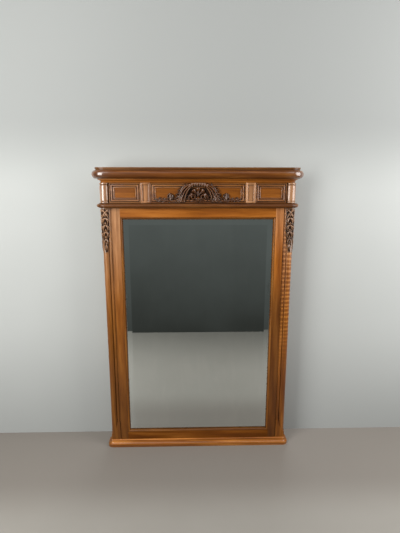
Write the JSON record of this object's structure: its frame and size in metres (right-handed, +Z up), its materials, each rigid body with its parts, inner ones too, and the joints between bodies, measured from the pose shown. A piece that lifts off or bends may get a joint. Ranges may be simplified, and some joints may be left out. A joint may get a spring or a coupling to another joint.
{
  "type": "carved wood mirror",
  "caption": "Tall bevelled mirror in a carved wood frame with corner columns, a moulded base, and a panelled frieze with a carved crest under a rounded cornice.",
  "frame": {"origin": "centre of the bounding box on the floor, under the base", "axes": "+Z up, the mirror face looks along -Y, +X to the viewer's right"},
  "size_m": [1.03, 0.0959, 1.492],
  "materials": {
    "walnut": "waxed satin",
    "carved_walnut": "waxed satin with dark hollows",
    "pine": "bare, aged",
    "mirror": "silvered, bevelled edge",
    "brass": "dull"
  },
  "bodies": {
    "root": {"base_board": "pine", "base_front": "walnut", "base_left": "walnut", "base_right": "walnut", "base_back_rail": "pine", "post_left": "walnut", "post_right": "walnut", "drop_left": "carved_walnut", "drop_right": "carved_walnut", "stile_left": "walnut", "stile_right": "walnut", "top_rail": "walnut", "bottom_rail": "walnut", "sight_top": "walnut", "sight_bottom": "walnut", "sight_left": "walnut", "sight_right": "walnut", "mirror_glass": "mirror", "glazing_blocks": "pine", "back_boards": "pine", "back_rail_top": "pine", "back_rail_bottom": "pine", "back_screws": "brass", "astragal_front": "walnut", "astragal_left": "walnut", "astragal_right": "walnut", "astragal_deck": "pine", "frieze_board": "walnut", "frieze_back_board": "pine", "colonnette_left": "walnut", "colonnette_right": "walnut", "pilaster_left": "walnut", "pilaster_right": "walnut", "panel_frame_left": "walnut", "panel_frame_right": "walnut", "centre_frame_top": "walnut", "centre_frame_bottom": "walnut", "centre_frame_left": "walnut", "centre_frame_right": "walnut", "crest_carving": "carved_walnut", "cove_front": "walnut", "cove_left": "walnut", "cove_right": "walnut", "cornice_deck": "pine", "crown_front": "walnut", "crown_left": "walnut", "crown_right": "walnut", "crown_back_rail": "pine", "top_board": "walnut", "hanging_plate_left": "brass", "hanging_plate_right": "brass", "plate_screws": "brass"}
  },
  "joints": []
}
